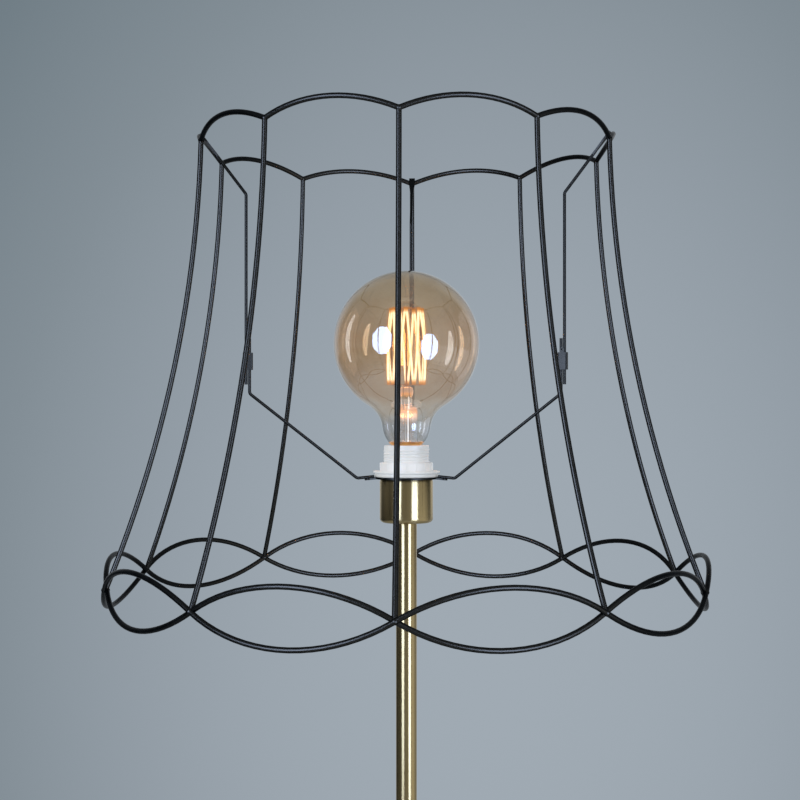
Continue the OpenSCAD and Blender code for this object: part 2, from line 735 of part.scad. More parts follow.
// Stem of clear glass: a wide flare sealed to the neck, closed over and drawn out into a rod with a knob
flare_top = 56;
flare_r = 9.5;
stem_r = 4.5;
knob_r = 5;
knob_top = cage_bottom - 1.5;
flare_t = 1;
flare_low = 33.5;
module globe_stem() color(clear) lamp_part() rotate_extrude($fn = ROUND) difference() {
    union() {
        polygon([
            [0, glass_foot + 0.5], [foot_r - glass_t - fit_gap, glass_foot + 0.5], [flare_r, flare_low],
            [flare_r, flare_top - 4], [flare_r - 1.2, flare_top - 1], [stem_r, flare_top + 4], [stem_r, knob_top - 9],
            [knob_r, knob_top - 8], [knob_r, knob_top - 1], [knob_r - 1, knob_top], [0, knob_top]
        ]);
    }
    polygon([
        [0, glass_foot], [foot_r - glass_t - flare_t, glass_foot], [flare_r - flare_t, flare_low],
        [flare_r - flare_t, flare_top - 4], [0, flare_top - 2]
    ]);
}

function around(r, angle, z) = [r * sin(angle), -r * cos(angle), z];
function top_hook(i) = around(cage_top_d / 2, 360 * i / hook_count, cage_top);
function low_hook(i) = around(cage_bottom_d / 2, 360 * (i + 0.5) / hook_count, cage_bottom);

module strand(from, to, d) {
    run = to - from;
    translate(from) rotate([0, acos(run.z / norm(run)), atan2(run.y, run.x)]) cylinder(d = d, h = norm(run), $fn = 16);
}

// A post on the knob with a hub of fine hooks at each end
post_d = 1.6;
hub_d = 5;
hub_t = 1.6;
hook_wire_d = 0.6;
module filament_supports() color(steel) lamp_part() {
    disc(post_d, cage_h + 2, knob_top - 0.5);
    for (z = [cage_bottom, cage_top]) disc(hub_d, hub_t, z - hub_t / 2);
    for (i = [0:hook_count - 1], p = [top_hook(i), low_hook(i)])
        strand([p.x, p.y, 0] * hub_d / 2.5 / norm([p.x, p.y]) + [0, 0, p.z], p, hook_wire_d);
}

module filament() color(glow) lamp_part() for (i = [0:hook_count - 1]) {
    for (top = [top_hook(i), top_hook(i + 1)]) {
        way = unit(low_hook(i) - top);
        strand(top + ball_inset * way, low_hook(i) - ball_inset * way, filament_d);
    }
    for (p = [top_hook(i), low_hook(i)]) translate(p) sphere(d = filament_d + 2 * ball_extra, $fn = 24);
}

lead_wire_d = 0.8;
module lead_wires() color(steel) lamp_part() for (s = [-1, 1]) translate([s * (hub_d - lead_wire_d) / 2 * 0.8, 0, 0])
    disc(lead_wire_d, cage_bottom - glass_foot + 10, glass_foot - 10);

base_cover();
base_weight();
base_pad();
base_washer();
base_nut();
base_nipple();
cord_bushing();
pole_lower();
pole_middle();
pole_upper();
pole_bushes();
pole_nipples();
inner_lead();
holder_nipple();
cup_nut();
holder_cup();
holder_cap();
holder_shell();
terminal_block();
terminal_screws();
shell_contact();
centre_contact();
screw_shell();
shade_ring();
carrier_ring();
arm_left();
arm_right();
arm_rear();
clip_left();
clip_right();
clip_rear();
top_ring();
wave_outer();
wave_inner();
rib_1();
rib_2();
rib_3();
rib_4();
rib_5();
rib_6();
rib_7();
rib_8();
rib_9();
rib_10();
drop_left();
drop_right();
drop_rear();
globe_glass();
globe_cap();
cap_insulator();
cap_contact();
globe_stem();
filament_supports();
filament();
lead_wires();
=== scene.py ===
"""Dresses the retro floor lamp: finishes, turned and moulded detail, studio and camera."""

import json
import math

import bmesh
import bpy
from mathutils import Matrix, Vector


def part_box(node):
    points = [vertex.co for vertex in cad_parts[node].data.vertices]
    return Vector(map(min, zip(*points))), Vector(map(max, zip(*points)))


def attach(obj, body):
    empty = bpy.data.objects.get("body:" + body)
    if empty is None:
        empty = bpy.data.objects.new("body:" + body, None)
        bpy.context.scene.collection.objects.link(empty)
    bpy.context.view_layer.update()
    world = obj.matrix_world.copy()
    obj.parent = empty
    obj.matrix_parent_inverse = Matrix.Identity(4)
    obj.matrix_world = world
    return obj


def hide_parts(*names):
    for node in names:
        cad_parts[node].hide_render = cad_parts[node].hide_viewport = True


bl_info = {
    "name": "Retro floor lamp",
    "version": (1, 0, 0),
    "blender": (4, 5, 0),
    "location": "3D View > Sidebar > Floor Lamp",
    "description": "Finishes a floor lamp with a bare wire shade and a globe lamp, and sets up its studio",
    "category": "Object",
}

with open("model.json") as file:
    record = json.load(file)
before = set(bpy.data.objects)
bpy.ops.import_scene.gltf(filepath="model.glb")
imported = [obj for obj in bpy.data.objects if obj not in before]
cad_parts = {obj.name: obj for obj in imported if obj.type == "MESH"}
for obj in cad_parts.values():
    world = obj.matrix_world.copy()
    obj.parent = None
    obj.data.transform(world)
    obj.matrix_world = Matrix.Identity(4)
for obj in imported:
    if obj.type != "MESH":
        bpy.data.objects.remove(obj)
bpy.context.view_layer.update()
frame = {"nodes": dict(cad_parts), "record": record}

UP = Vector((0, 0, 1))
ORIGIN = Vector((0, 0, 0))
MM = 0.001

# Places of the globe lamp in the CAD frame, in metres
GLOBE_RADIUS, GLOBE_TOP_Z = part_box("globe_glass")[1][0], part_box("globe_glass")[1][2]
GLOBE_MIDDLE = Vector((0, 0, GLOBE_TOP_Z - GLOBE_RADIUS))
TIP_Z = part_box("cap_contact")[0][2]

# The two ends of a Map Range between which most values of a noise texture lie
NOISE_SPAN = {"i1": 0.3, "i2": 0.7}

# The picture's width and height in pixels
PICTURE = 800


# Colours, nodes, meshes and places


def linear(hex_colour):
    """An sRGB hex value as linear RGBA."""
    channels = [int(hex_colour[i : i + 2], 16) / 255 for i in (1, 3, 5)]
    return (*(c / 12.92 if c <= 0.04045 else ((c + 0.055) / 1.055) ** 2.4 for c in channels), 1.0)


def add(tree, kind, settings=None, **inputs):
    """Adds a node with its settings. An input, named by its identifier or index, gets a value or a link."""
    node = tree.nodes.new(kind)
    for name, value in (settings or {}).items():
        setattr(node, name, value)
    for name, value in inputs.items():
        key = int(name[1:]) if name[0] == "i" and name[1:].isdigit() else name.replace("_", " ")
        if isinstance(value, bpy.types.NodeSocket):
            tree.links.new(value, node.inputs[key])
        else:
            node.inputs[key].default_value = value
    return node


def every(millimetres):
    """The scale of a pattern that repeats about once in so many millimetres."""
    return 1 / (millimetres * MM)


def ramp(tree, factor, stops):
    """A colour ramp through stops of (position, hex colour)."""
    node = add(tree, "ShaderNodeValToRGB", i0=factor)
    band = node.color_ramp
    while len(band.elements) < len(stops):
        band.elements.new(0.5)
    for element, (position, colour) in zip(band.elements, stops):
        element.position = position
        element.color = linear(colour)
    return node.outputs["Color"]


def new_material(name):
    """An empty material, its node tree, and the Object coordinates that its patterns read."""
    material = bpy.data.materials.new(name)
    material.use_nodes = True
    tree = material.node_tree
    tree.nodes.clear()
    return material, tree, add(tree, "ShaderNodeTexCoord").outputs["Object"]


def finished(material, shader):
    """Ends a material with its shader."""
    add(material.node_tree, "ShaderNodeOutputMaterial", Surface=shader.outputs[0])
    return material


def dress(material, *nodes):
    """Gives CAD nodes their finish."""
    for node in nodes:
        slots = frame["nodes"][node].data.materials
        slots.clear()
        slots.append(material)


def object_from(bm, name, material):
    """Makes the object of a finished bmesh, with its place in its mesh."""
    mesh = bpy.data.meshes.new(name)
    bm.to_mesh(mesh)
    bm.free()
    mesh.materials.append(material)
    made = bpy.data.objects.new(name, mesh)
    bpy.context.scene.collection.objects.link(made)
    return made


def piece_from(bm, name, material, body, replaces=(), smooth=35):
    """Makes a piece of a finished bmesh, smooth up to an angle in degrees, and has it ride on its body."""
    piece = object_from(bm, name, material)
    piece.data.shade_smooth()
    piece.data.set_sharp_from_angle(angle=math.radians(smooth))
    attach(piece, body)
    if replaces:
        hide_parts(*replaces)
    return piece


def move_into(bm, part):
    """Moves all faces of one bmesh into another."""
    scrap = bpy.data.meshes.new("scrap")
    part.to_mesh(scrap)
    part.free()
    bm.from_mesh(scrap)
    bpy.data.meshes.remove(scrap)


def turned_extent(node):
    """The lower height, the upper height and the radius of a turned CAD node, in millimetres."""
    (_, _, low), (radius, _, high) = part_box(node)
    return low / MM, high / MM, radius / MM


def profile(bm, points, closed=True):
    """A path of edges through a few points of (radius, height), in millimetres."""
    verts = [bm.verts.new((radius * MM, 0, height * MM)) for radius, height in points]
    for a, b in zip(verts, verts[1:] + verts[:1] if closed else verts[1:]):
        bm.edges.new((a, b))
    return verts


def round_corners(bm, verts, radius, segments=4):
    """Rounds corners of a path to a radius in millimetres, before it is spun."""
    bmesh.ops.bevel(
        bm, geom=verts, offset=radius * MM, offset_type="OFFSET", segments=segments, profile=0.5,
        affect="VERTICES", material=-1, clamp_overlap=True,
    )


def turn(bm, steps):
    """Turns all edges of a path round the stem's axis, as on a lathe."""
    bmesh.ops.spin(
        bm, geom=bm.verts[:] + bm.edges[:], cent=ORIGIN, axis=UP, dvec=ORIGIN, angle=2 * math.pi,
        steps=steps, use_merge=True,
    )
    bmesh.ops.remove_doubles(bm, verts=bm.verts[:], dist=1e-6)
    bmesh.ops.recalc_face_normals(bm, faces=bm.faces[:])


def place_at(azimuth, height):
    """A point two metres from the stem, at an azimuth in degrees from straight ahead."""
    a = math.radians(azimuth)
    return Vector((2 * math.sin(a), -2 * math.cos(a), height))


def facing(place, aim):
    """The matrix of a lamp that stands at a place and faces its aim."""
    return Matrix.Translation(place) @ (aim - place).to_track_quat("-Z", "Y").to_matrix().to_4x4()


# Sizes and colours that a user would change


class StemSettings(bpy.types.PropertyGroup):
    brass: bpy.props.StringProperty(
        name="Brass", description="Colour of the toned brass, as sRGB hex", default="#c7af80"
    )
    brass_shade: bpy.props.StringProperty(
        name="Brass, shaded", description="Darker tone between brush lines, as sRGB hex", default="#b59d6c"
    )
    brush_pitch: bpy.props.FloatProperty(
        name="Brush lines", description="Distance between drawn lines",
        default=0.0006, min=0.0002, unit="LENGTH",
    )
    roughness: bpy.props.FloatProperty(
        name="Roughness", description="Roughness of the satin brass",
        default=0.24, min=0, max=1, subtype="FACTOR",
    )


class HolderSettings(bpy.types.PropertyGroup):
    thread_pitch: bpy.props.FloatProperty(
        name="Thread pitch", description="Rise of the outer thread per turn", default=0.00255, unit="LENGTH"
    )
    thread_depth: bpy.props.FloatProperty(
        name="Thread depth", description="Height of the thread above its root", default=0.0005, unit="LENGTH"
    )
    plastic: bpy.props.StringProperty(
        name="Plastic", description="Colour of the moulded plastic, as sRGB hex", default="#eef0f0"
    )
    plastic_shade: bpy.props.StringProperty(
        name="Plastic, shaded", description="Darker tone of the plastic, as sRGB hex", default="#e6e9eb"
    )
    grip_ribs: bpy.props.IntProperty(
        name="Grip ribs", description="Ribs round the shade ring's collar", default=16, min=6
    )


class ShadeSettings(bpy.types.PropertyGroup):
    coat: bpy.props.StringProperty(
        name="Powder coat", description="Colour of the coat, as sRGB hex", default="#040608"
    )
    # a lighter tone painted on the coat's high spots, standing in for small glints
    coat_painted_glint: bpy.props.StringProperty(
        name="Powder coat, worn", description="Lighter tone on high spots, as sRGB hex", default="#0c1014"
    )
    peel_size: bpy.props.FloatProperty(
        name="Orange peel", description="Size of the coat's dimples", default=0.0015, unit="LENGTH"
    )


class GlobeSettings(bpy.types.PropertyGroup):
    tint_top: bpy.props.StringProperty(
        name="Tint, top", description="Glass tint near the top, as sRGB hex", default="#fde8cc"
    )
    tint_low: bpy.props.StringProperty(
        name="Tint, low", description="Glass tint near the neck, as sRGB hex", default="#fbead8"
    )
    core_strength: bpy.props.FloatProperty(
        name="Filament", description="Strength of the filament's glow", default=3.0, min=0
    )
    core_width: bpy.props.FloatProperty(
        name="Filament width", description="Width of a strand", default=0.0019, unit="LENGTH"
    )
    halo_width: bpy.props.FloatProperty(
        name="Halo width", description="Width of the glow round a strand", default=0.0027, unit="LENGTH"
    )
    bow: bpy.props.FloatProperty(
        name="Bow", description="How far a strand bows outwards", default=0.0018, unit="LENGTH"
    )
    spread: bpy.props.FloatProperty(
        name="Hook spread",
        description="Strands' distance from a hook's middle, as a share of the hooks' pitch",
        default=0.04, min=0, max=0.24,
    )


class StageSettings(bpy.types.PropertyGroup):
    focal_px: bpy.props.FloatProperty(
        name="Focal length", description="In pixels of the 800 pixel frame", default=1460.6
    )
    distance: bpy.props.FloatProperty(
        name="Camera distance", description="From the stem", default=1.257, unit="LENGTH"
    )
    height: bpy.props.FloatProperty(
        name="Camera height", description="Above the floor", default=1.352, unit="LENGTH"
    )
    azimuth: bpy.props.FloatProperty(
        name="Camera azimuth", description="Turn towards +X from the front",
        default=math.radians(1.8), subtype="ANGLE",
    )
    shift_px: bpy.props.FloatVectorProperty(
        name="Shift", description="In pixels of the 800 pixel frame", size=2, default=(-6.4, 18.5)
    )
    softbox_radiance: bpy.props.FloatProperty(
        name="Softbox faces", description="Brightness of the faces in reflections", default=9.5
    )
    softbox_power: bpy.props.FloatVectorProperty(
        name="Softbox power", description="Power of the left and right lamps", size=2, default=(14.5, 8.4)
    )
    window_radiance: bpy.props.FloatProperty(
        name="Windows", description="Brightness of the windows in glass", default=7.4
    )
    ambient: bpy.props.FloatProperty(
        name="Ambient", description="Brightness of the studio's even light", default=0.6
    )


GROUPS = (
    ("stem", StemSettings), ("holder", HolderSettings), ("shade", ShadeSettings),
    ("globe", GlobeSettings), ("stage", StageSettings),
)


class FloorLampSettings(bpy.types.PropertyGroup):
    stem: bpy.props.PointerProperty(type=StemSettings)
    holder: bpy.props.PointerProperty(type=HolderSettings)
    shade: bpy.props.PointerProperty(type=ShadeSettings)
    globe: bpy.props.PointerProperty(type=GlobeSettings)
    stage: bpy.props.PointerProperty(type=StageSettings)


# Finishes


def satin_brass(settings, name, lathe=False):
    """Brass, brushed and lacquered: narrow bright streaks along the brushing, a soft dark tone between."""
    material, tree, place = new_material(name)
    satin, uneven = settings.roughness, 0.02
    # the lines run up a tube, so the pattern is drawn out far along it
    stretch = (1, 1, 0.006)
    if lathe:
        # on a spun cover they are rings, and its sheen is softer
        stretch = (1, 1, 1)
        satin += 0.14
        apart = add(tree, "ShaderNodeSeparateXYZ", i0=place).outputs
        flat = add(tree, "ShaderNodeCombineXYZ", i0=apart[0], i1=apart[1]).outputs[0]
        radius = add(tree, "ShaderNodeVectorMath", {"operation": "LENGTH"}, i0=flat).outputs["Value"]
        place = add(tree, "ShaderNodeCombineXYZ", i0=radius, i1=apart[2]).outputs[0]
    along = add(tree, "ShaderNodeMapping", Vector=place, Scale=stretch).outputs[0]
    # real brush lines are about 0.1 mm apart: drawn coarser to show
    per_line = 1 / settings.brush_pitch
    lines = add(tree, "ShaderNodeTexNoise", Vector=along, Scale=per_line, Detail=2, Roughness=0.6).outputs[0]
    patches = add(tree, "ShaderNodeTexNoise", Vector=place, Scale=every(60), Detail=2).outputs[0]
    mixed = add(tree, "ShaderNodeMath", {"operation": "MULTIPLY"}, i0=lines, i1=patches).outputs[0]
    rough = add(tree, "ShaderNodeMapRange", i0=lines, **NOISE_SPAN, i3=satin - uneven, i4=satin + uneven)
    bump = add(tree, "ShaderNodeBump", Strength=0.03, Distance=0.02 * MM, Height=lines)
    shader = add(
        tree, "ShaderNodeBsdfPrincipled",
        Base_Color=ramp(tree, mixed, [(0.06, settings.brass_shade), (0.44, settings.brass)]),
        Metallic=1.0, Roughness=rough.outputs[0], Normal=bump.outputs[0],
    )
    if not lathe:
        # the brush lines draw each reflection out up the tube and keep it narrow across
        tangent = add(tree, "ShaderNodeTangent", {"direction_type": "RADIAL", "axis": "Z"})
        tree.links.new(tangent.outputs[0], shader.inputs["Tangent"])
        shader.inputs["Anisotropic"].default_value = 0.95
        shader.inputs["Anisotropic Rotation"].default_value = 0.25
    return finished(material, shader)


def plain_metal(name, light, dark, grain_mm, roughness, metallic=1.0, bump_mm=0.01):
    """Turned, drawn, plated or painted metal: an even sheen with a fine uneven grain."""
    material, tree, place = new_material(name)
    smoothest, roughest = roughness - 0.06, roughness + 0.06
    noise = add(tree, "ShaderNodeTexNoise", Vector=place, Scale=every(grain_mm), Detail=3, Roughness=0.6)
    grain = noise.outputs[0]
    rough = add(tree, "ShaderNodeMapRange", i0=grain, **NOISE_SPAN, i3=smoothest, i4=roughest)
    bump = add(tree, "ShaderNodeBump", Strength=0.2, Distance=bump_mm * MM, Height=grain)
    shader = add(
        tree, "ShaderNodeBsdfPrincipled", Base_Color=ramp(tree, grain, [(0.35, dark), (0.65, light)]),
        Metallic=metallic, Roughness=rough.outputs[0], Normal=bump.outputs[0],
    )
    return finished(material, shader)


def powder_coat(settings, name, gloss_head_on):
    """Steel, powder coated black: dimpled like orange peel, with painted pale glints on its high spots."""
    material, tree, place = new_material(name)
    dimples, smoothest, roughest = 1 / settings.peel_size, 0.24, 0.32
    peel = add(tree, "ShaderNodeTexNoise", Vector=place, Scale=dimples, Detail=3, Roughness=0.55).outputs[0]
    sheen_patches = add(tree, "ShaderNodeTexNoise", Vector=place, Scale=every(12), Detail=3, Roughness=0.6).outputs[0]
    # painted glints: where the peel and the patches are high, a lighter tone stands in for small highlights
    painted_glint_mask = add(tree, "ShaderNodeMath", {"operation": "MULTIPLY"}, i0=peel, i1=sheen_patches).outputs[0]
    rough = add(tree, "ShaderNodeMapRange", i0=sheen_patches, **NOISE_SPAN, i3=smoothest, i4=roughest)
    bump = add(tree, "ShaderNodeBump", Strength=0.1, Distance=0.05 * MM, Height=peel)
    # glossy head on and dull at a glance, so a wire shows a pale band between dark edges
    glance = add(tree, "ShaderNodeLayerWeight", Blend=0.5).outputs["Facing"]
    fades_from, fades_to, gloss_at_edge = 0.05, 0.48, 0.03
    gloss = add(
        tree, "ShaderNodeMapRange", {"interpolation_type": "SMOOTHSTEP"}, i0=glance,
        i1=fades_from, i2=fades_to, i3=gloss_head_on, i4=gloss_at_edge,
    )
    shader = add(
        tree, "ShaderNodeBsdfPrincipled",
        Base_Color=ramp(tree, painted_glint_mask, [(0.18, settings.coat), (0.42, settings.coat_painted_glint)]),
        Roughness=rough.outputs[0], Normal=bump.outputs[0], IOR=1.5, Specular_IOR_Level=gloss.outputs[0],
        Specular_Tint=linear("#fff5e0"),
    )
    return finished(material, shader)


def moulded_plastic(name, light, dark, roughness, grain_mm=0.4):
    """Moulded or glazed surface: even colour, a slight sheen and a faint spark-eroded grain."""
    material, tree, place = new_material(name)
    smoothest, roughest = roughness - 0.05, roughness + 0.05
    grain = add(tree, "ShaderNodeTexNoise", Vector=place, Scale=every(grain_mm), Detail=2).outputs[0]
    flow = add(tree, "ShaderNodeTexNoise", Vector=place, Scale=every(20), Detail=2).outputs[0]
    rough = add(tree, "ShaderNodeMapRange", i0=flow, **NOISE_SPAN, i3=smoothest, i4=roughest)
    bump = add(tree, "ShaderNodeBump", Strength=0.1, Distance=0.03 * MM, Height=grain)
    shader = add(
        tree, "ShaderNodeBsdfPrincipled", Base_Color=ramp(tree, flow, [(0.35, dark), (0.6, light)]),
        Roughness=rough.outputs[0], Normal=bump.outputs[0], IOR=1.54,
    )
    return finished(material, shader)


def amber_glass(settings):
    """Blown soda glass, lustred amber inside: smoky brown above, running out to clear glass at the neck."""
    material, tree, place = new_material("Blown glass, amber lustre")
    tint_from, drift = TIP_Z + 44 * MM, 4 * MM
    height = add(tree, "ShaderNodeSeparateXYZ", i0=place).outputs[2]
    noise = add(tree, "ShaderNodeTexNoise", Vector=place, Scale=every(16), Detail=3, Roughness=0.55)
    clouds = noise.outputs[0]
    drifts = add(tree, "ShaderNodeMapRange", i0=clouds, **NOISE_SPAN, i3=-drift, i4=drift)
    wavy = add(tree, "ShaderNodeMath", {"operation": "ADD"}, i0=height, i1=drifts.outputs[0]).outputs[0]
    share = add(tree, "ShaderNodeMapRange", i0=wavy, i1=tint_from, i2=GLOBE_TOP_Z).outputs[0]
    tint_stops = [
        (0.0, "#ffffff"), (0.06, "#fffefc"), (0.20, settings.tint_low), (0.45, settings.tint_top),
        (0.65, settings.tint_top), (0.85, "#feeed2"),
    ]
    # a slanting look passes through more of the film
    slant = add(tree, "ShaderNodeLayerWeight", Blend=0.5).outputs["Facing"]
    layers = (
        ramp(tree, clouds, [(0.3, "#ffffff"), (0.75, "#faf4ec")]),
        ramp(tree, slant, [(0.08, "#ffffff"), (0.28, "#f7f5f4"), (0.42, "#f7f5f4"), (0.58, "#ffffff")]),
    )
    colour = ramp(tree, share, tint_stops)
    multiply = {"data_type": "RGBA", "blend_type": "MULTIPLY"}
    for layer in layers:
        colour = add(tree, "ShaderNodeMix", multiply, i0=1.0, i6=colour, i7=layer).outputs[2]
    # a painted glow stands in for the little of the filament's light that the lustre scatters, most of it low
    # down
    scattered = [(0.0, "#000000"), (0.1, "#2c261b"), (0.3, "#241f1c"), (0.55, "#1c120e"), (1.0, "#0a0604")]
    # its oxide film mirrors more than twice as much as bare glass
    film = (3.2, 3.2, 3.2, 1)
    shader = add(
        tree, "ShaderNodeBsdfPrincipled", Base_Color=colour, Roughness=0.0, Transmission_Weight=1.0,
        IOR=1.52, Specular_Tint=film, Emission_Color=ramp(tree, share, scattered), Emission_Strength=1.0,
    )
    return finished(material, shader)


def clear_glass(name, lit):
    """Lamp glass, flame-drawn: clear, with faint lines along it, and a painted glow for the filament's light
    at some heights.
    """
    material, tree, place = new_material(name)
    lit_reach, draw_out = 100 * MM, (1, 1, 0.05)
    along = add(tree, "ShaderNodeMapping", Vector=place, Scale=draw_out).outputs[0]
    lines = add(tree, "ShaderNodeTexNoise", Vector=along, Scale=every(1.2), Detail=1).outputs[0]
    bump = add(tree, "ShaderNodeBump", Strength=0.15, Distance=0.1 * MM, Height=lines)
    height = add(tree, "ShaderNodeSeparateXYZ", i0=place).outputs[2]
    share = add(tree, "ShaderNodeMapRange", i0=height, i1=TIP_Z, i2=TIP_Z + lit_reach).outputs[0]
    shader = add(
        tree, "ShaderNodeBsdfPrincipled",
        Base_Color=ramp(tree, lines, [(0.3, "#fbfcfc"), (0.7, "#ffffff")]), Roughness=0.03,
        Transmission_Weight=1.0, IOR=1.52, Normal=bump.outputs[0], Emission_Color=ramp(tree, share, lit),
        Emission_Strength=1.0,
    )
    return finished(material, shader)


def glowing(name, hot, cool, strength, cover=1.0, ends=None):
    """Hot material, or a painted glow on lit glass and wire: bright, cooler in patches and at its ends; a
    cover below 1 is see-through.
    """
    material, tree, place = new_material(name)
    flicker = add(tree, "ShaderNodeTexNoise", Vector=place, Scale=every(4), Detail=1).outputs[0]
    colour = ramp(tree, flicker, [(0.3, cool), (0.6, hot)])
    if ends:
        # the hooks draw heat from the strands' ends, which glow orange there
        low, high = ends
        half = (high - low) / 2
        cooler, orange, faint = half - 5 * MM, half - 1.5 * MM, half - 1 * MM
        height = add(tree, "ShaderNodeSeparateXYZ", i0=place).outputs[2]
        middle = add(tree, "ShaderNodeMath", {"operation": "SUBTRACT"}, i0=height, i1=(low + high) / 2)
        off = add(tree, "ShaderNodeMath", {"operation": "ABSOLUTE"}, i0=middle.outputs[0]).outputs[0]
        fade = add(tree, "ShaderNodeMapRange", i0=off, i1=cooler, i2=faint, i3=strength, i4=0.8)
        strength = fade.outputs[0]
        warm = add(tree, "ShaderNodeMapRange", i0=off, i1=cooler, i2=orange).outputs[0]
        mixed = add(tree, "ShaderNodeMix", {"data_type": "RGBA"}, i0=warm, i6=colour, i7=linear("#eda036"))
        colour = mixed.outputs[2]
    shader = add(tree, "ShaderNodeEmission", Color=colour, Strength=strength)
    if cover < 1:
        clear = add(tree, "ShaderNodeBsdfTransparent")
        shader = add(tree, "ShaderNodeMixShader", i0=cover, i1=clear.outputs[0], i2=shader.outputs[0])
    return finished(material, shader)


def pressed_felt():
    """Pressed felt: matt, with a fluffy fibre and a soft sheen at its edge."""
    material, tree, place = new_material("Felt, pressed")
    noise = add(tree, "ShaderNodeTexNoise", Vector=place, Scale=every(1.5), Detail=4, Distortion=1.5)
    fibre = noise.outputs[0]
    bump = add(tree, "ShaderNodeBump", Strength=0.8, Distance=0.4 * MM, Height=fibre)
    shader = add(
        tree, "ShaderNodeBsdfPrincipled",
        Base_Color=ramp(tree, fibre, [(0.35, "#17181a"), (0.7, "#34363a")]), Roughness=0.95,
        Sheen_Weight=0.4, Normal=bump.outputs[0],
    )
    return finished(material, shader)


# Operators, one for each piece or group of like pieces


class LAMP_OT_stem(bpy.types.Operator):
    """Finishes the base cover, the three tube sections and the cup in brushed brass"""

    bl_idname = "lamp.stem"
    bl_label = "Finish the brass stem"

    def execute(self, context):
        settings = context.scene.floor_lamp.stem
        brushed = satin_brass(settings, "Brass, brushed along")
        dress(brushed, "pole_lower", "pole_middle", "pole_upper")
        dress(satin_brass(settings, "Brass, spun", lathe=True), "base_cover")
        self.turned_cup(brushed)
        return {"FINISHED"}

    def turned_cup(self, brass):
        """The cup under the holder, with a rim that is turned in a little."""
        low, high, wall = turned_extent("holder_cup")
        sheet, hole, rim, turned_in = 1.2, 5.05, 2.4, 0.5
        bm = bmesh.new()
        points = [
            (hole, low), (wall, low), (wall, high - rim), (wall - turned_in / 2, high - rim + 1),
            (wall - turned_in, high), (wall - sheet, high), (wall - sheet, low + sheet),
            (hole, low + sheet),
        ]
        outline = profile(bm, points)
        round_corners(bm, outline[1:2], 4.0, 8)
        round_corners(bm, outline[4:5], 0.5, 3)
        turn(bm, 128)
        piece_from(bm, "turned_cup", brass, "stand", ["holder_cup"])


class LAMP_OT_base(bpy.types.Operator):
    """Finishes the base's pieces and the lamp's hidden fixings, contacts and lead"""

    bl_idname = "lamp.base"
    bl_label = "Finish the base and the hidden parts"

    def execute(self, context):
        # sand cast, so its paint lies dull over a coarse skin
        iron = plain_metal("Cast iron, painted", "#38393b", "#232425", 2.5, 0.7, metallic=0.0, bump_mm=0.3)
        # plating gives a bright grey with a slightly cloudy shine
        zinc = plain_metal("Steel, zinc plated", "#c3c6c8", "#9a9da0", 0.8, 0.35)
        # fine tool marks blur the yellow metal's shine
        raw = plain_metal("Brass, turned", "#dcb76c", "#b98f47", 0.6, 0.3)
        # a black skin with a low sheen from the mould
        nylon = moulded_plastic("Nylon, moulded", "#222426", "#191a1c", 0.5)
        # drawn smooth along the lead, so it shines a little more than the bushing
        jacket = moulded_plastic("Vinyl, extruded", "#1f2022", "#17181a", 0.42, 0.8)
        dress(iron, "base_weight")
        dress(zinc, "base_washer", "base_nut", "base_nipple", "pole_nipples")
        dress(zinc, "holder_nipple", "cup_nut", "terminal_screws")
        dress(raw, "pole_bushes", "shell_contact", "centre_contact", "screw_shell")
        dress(nylon, "cord_bushing")
        dress(jacket, "inner_lead")
        dress(pressed_felt(), "base_pad")
        return {"FINISHED"}


